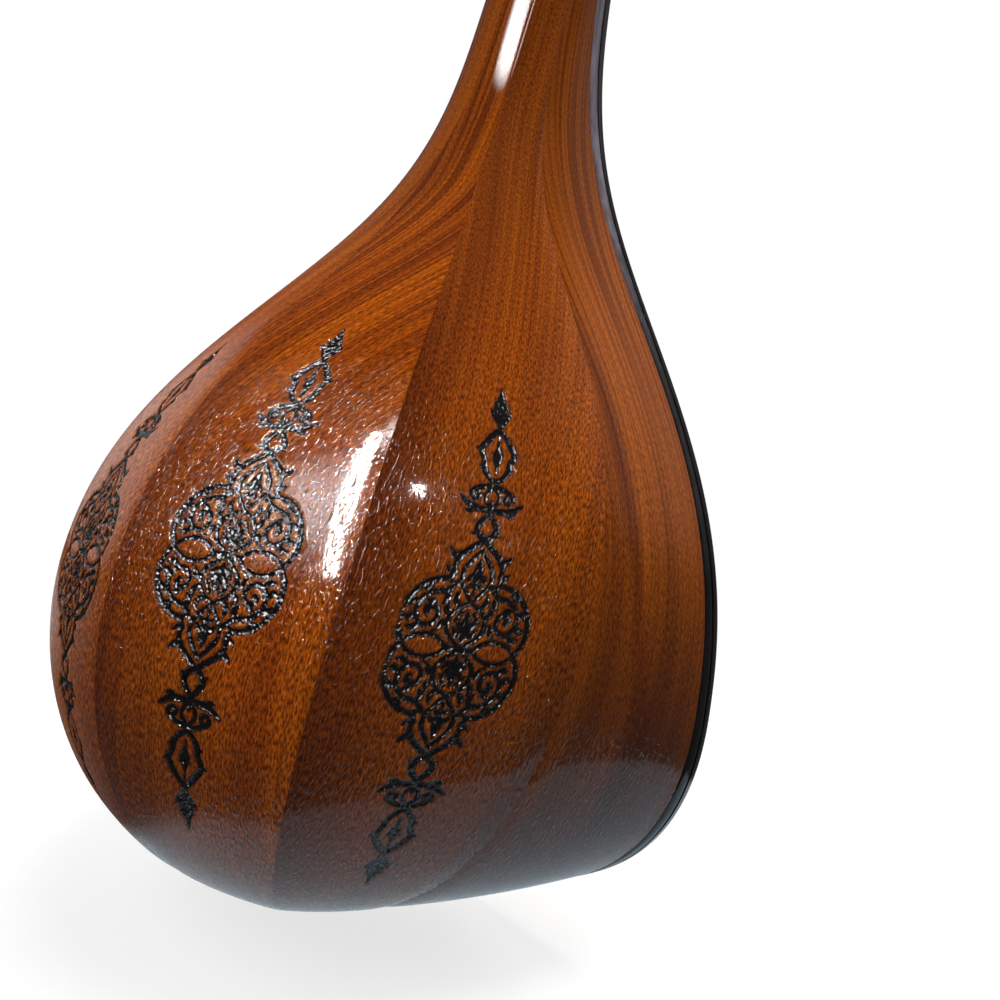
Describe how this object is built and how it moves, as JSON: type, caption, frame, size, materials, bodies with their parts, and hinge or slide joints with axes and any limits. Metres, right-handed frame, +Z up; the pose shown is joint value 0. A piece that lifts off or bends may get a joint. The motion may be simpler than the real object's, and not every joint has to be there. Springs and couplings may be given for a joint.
{
  "type": "setar",
  "caption": "Persian long-necked lute: a pear-shaped bowl of carved staves, tied frets that slide, turning pegs and thin metal strings.",
  "frame": {"origin": "on the centre line of the fingerboard's front plane, at the nut's edge where the strings' free length ends", "axes": "+Z up along the neck towards the head, -Y out of the playing face, -X towards the side pegs"},
  "size_m": [0.1672, 0.1352, 0.8345],
  "materials": {
    "stave_wood": "gloss lacquer",
    "neck_wood": "gloss lacquer",
    "black_wood": "gloss black",
    "pale_wood": "raw",
    "board_wood": "satin",
    "peg_wood": "polished",
    "bone": "polished bone",
    "gut": "translucent gut",
    "steel": "drawn wire",
    "brass": "drawn wire"
  },
  "bodies": {
    "setar": {"stave_center": "stave_wood", "stave_left_back": "stave_wood", "stave_left_mid": "stave_wood", "stave_left_edge": "stave_wood", "stave_right_back": "stave_wood", "stave_right_mid": "stave_wood", "stave_right_edge": "stave_wood", "bowl_binding_left": "black_wood", "bowl_binding_right": "black_wood", "soundboard_edging_left": "black_wood", "soundboard_edging_right": "black_wood", "tail_block": "pale_wood", "neck_block": "pale_wood", "rim_lining_left": "pale_wood", "rim_lining_right": "pale_wood", "soundboard_brace_1": "pale_wood", "soundboard_brace_2": "pale_wood", "soundboard": "board_wood", "bridge": "neck_wood", "string_holder": "bone", "neck": "neck_wood", "fingerboard": "black_wood", "nut": "bone", "head": "neck_wood", "string_1": "steel", "string_2": "brass", "string_3": "brass", "string_4": "steel"},
    "peg_front_lower": {"peg_front_lower": "peg_wood", "string_winding_2": "brass"},
    "peg_front_upper": {"peg_front_upper": "peg_wood", "string_winding_1": "steel"},
    "peg_side_lower": {"peg_side_lower": "peg_wood", "string_winding_3": "brass"},
    "peg_side_upper": {"peg_side_upper": "peg_wood", "string_winding_4": "steel"},
    "fret_01": {"fret_01": "gut"},
    "fret_02": {"fret_02": "gut"},
    "fret_03": {"fret_03": "gut"},
    "fret_04": {"fret_04": "gut"},
    "fret_05": {"fret_05": "gut"},
    "fret_06": {"fret_06": "gut"},
    "fret_07": {"fret_07": "gut"},
    "fret_08": {"fret_08": "gut"},
    "fret_09": {"fret_09": "gut"},
    "fret_10": {"fret_10": "gut"},
    "fret_11": {"fret_11": "gut"},
    "fret_12": {"fret_12": "gut"},
    "fret_13": {"fret_13": "gut"},
    "fret_14": {"fret_14": "gut"},
    "fret_15": {"fret_15": "gut"},
    "fret_16": {"fret_16": "gut"},
    "fret_17": {"fret_17": "gut"},
    "fret_18": {"fret_18": "gut"},
    "fret_19": {"fret_19": "gut"},
    "fret_20": {"fret_20": "gut"},
    "fret_21": {"fret_21": "gut"},
    "fret_22": {"fret_22": "gut"},
    "fret_23": {"fret_23": "gut"},
    "fret_24": {"fret_24": "gut"}
  },
  "joints": [
    {"name": "peg_front_lower_turn", "type": "hinge", "parent": "setar", "child": "peg_front_lower", "pos_m": [0.002, 0.00767, 0.027], "axis": [0, -0.9981, 0.061], "continuous": true},
    {"name": "peg_front_upper_turn", "type": "hinge", "parent": "setar", "child": "peg_front_upper", "pos_m": [0.002, 0.01012, 0.067], "axis": [0, -0.9981, 0.061], "continuous": true},
    {"name": "peg_side_lower_turn", "type": "hinge", "parent": "setar", "child": "peg_side_lower", "pos_m": [-0.011, 0.01562, 0.049], "axis": [-1, 0, 0], "continuous": true},
    {"name": "peg_side_upper_turn", "type": "hinge", "parent": "setar", "child": "peg_side_upper", "pos_m": [-0.011, 0.01806, 0.089], "axis": [-1, 0, 0], "continuous": true},
    {"name": "fret_01_slide", "type": "slide", "parent": "setar", "child": "fret_01", "axis": [0, 0, 1], "range_m": [-0.002, 0.002]},
    {"name": "fret_02_slide", "type": "slide", "parent": "setar", "child": "fret_02", "axis": [0, 0, 1], "range_m": [-0.002, 0.002]},
    {"name": "fret_03_slide", "type": "slide", "parent": "setar", "child": "fret_03", "axis": [0, 0, 1], "range_m": [-0.002, 0.002]},
    {"name": "fret_04_slide", "type": "slide", "parent": "setar", "child": "fret_04", "axis": [0, 0, 1], "range_m": [-0.002, 0.002]},
    {"name": "fret_05_slide", "type": "slide", "parent": "setar", "child": "fret_05", "axis": [0, 0, 1], "range_m": [-0.002, 0.002]},
    {"name": "fret_06_slide", "type": "slide", "parent": "setar", "child": "fret_06", "axis": [0, 0, 1], "range_m": [-0.002, 0.002]},
    {"name": "fret_07_slide", "type": "slide", "parent": "setar", "child": "fret_07", "axis": [0, 0, 1], "range_m": [-0.002, 0.002]},
    {"name": "fret_08_slide", "type": "slide", "parent": "setar", "child": "fret_08", "axis": [0, 0, 1], "range_m": [-0.002, 0.002]},
    {"name": "fret_09_slide", "type": "slide", "parent": "setar", "child": "fret_09", "axis": [0, 0, 1], "range_m": [-0.002, 0.002]},
    {"name": "fret_10_slide", "type": "slide", "parent": "setar", "child": "fret_10", "axis": [0, 0, 1], "range_m": [-0.002, 0.002]},
    {"name": "fret_11_slide", "type": "slide", "parent": "setar", "child": "fret_11", "axis": [0, 0, 1], "range_m": [-0.002, 0.002]},
    {"name": "fret_12_slide", "type": "slide", "parent": "setar", "child": "fret_12", "axis": [0, 0, 1], "range_m": [-0.002, 0.002]},
    {"name": "fret_13_slide", "type": "slide", "parent": "setar", "child": "fret_13", "axis": [0, 0, 1], "range_m": [-0.002, 0.002]},
    {"name": "fret_14_slide", "type": "slide", "parent": "setar", "child": "fret_14", "axis": [0, 0, 1], "range_m": [-0.002, 0.002]},
    {"name": "fret_15_slide", "type": "slide", "parent": "setar", "child": "fret_15", "axis": [0, 0, 1], "range_m": [-0.002, 0.002]},
    {"name": "fret_16_slide", "type": "slide", "parent": "setar", "child": "fret_16", "axis": [0, 0, 1], "range_m": [-0.002, 0.002]},
    {"name": "fret_17_slide", "type": "slide", "parent": "setar", "child": "fret_17", "axis": [0, 0, 1], "range_m": [-0.002, 0.002]},
    {"name": "fret_18_slide", "type": "slide", "parent": "setar", "child": "fret_18", "axis": [0, 0, 1], "range_m": [-0.002, 0.002]},
    {"name": "fret_19_slide", "type": "slide", "parent": "setar", "child": "fret_19", "axis": [0, 0, 1], "range_m": [-0.002, 0.002]},
    {"name": "fret_20_slide", "type": "slide", "parent": "setar", "child": "fret_20", "axis": [0, 0, 1], "range_m": [-0.002, 0.002]},
    {"name": "fret_21_slide", "type": "slide", "parent": "setar", "child": "fret_21", "axis": [0, 0, 1], "range_m": [-0.002, 0.002]},
    {"name": "fret_22_slide", "type": "slide", "parent": "setar", "child": "fret_22", "axis": [0, 0, 1], "range_m": [-0.002, 0.002]},
    {"name": "fret_23_slide", "type": "slide", "parent": "setar", "child": "fret_23", "axis": [0, 0, 1], "range_m": [-0.002, 0.002]},
    {"name": "fret_24_slide", "type": "slide", "parent": "setar", "child": "fret_24", "axis": [0, 0, 1], "range_m": [-0.002, 0.002]}
  ]
}
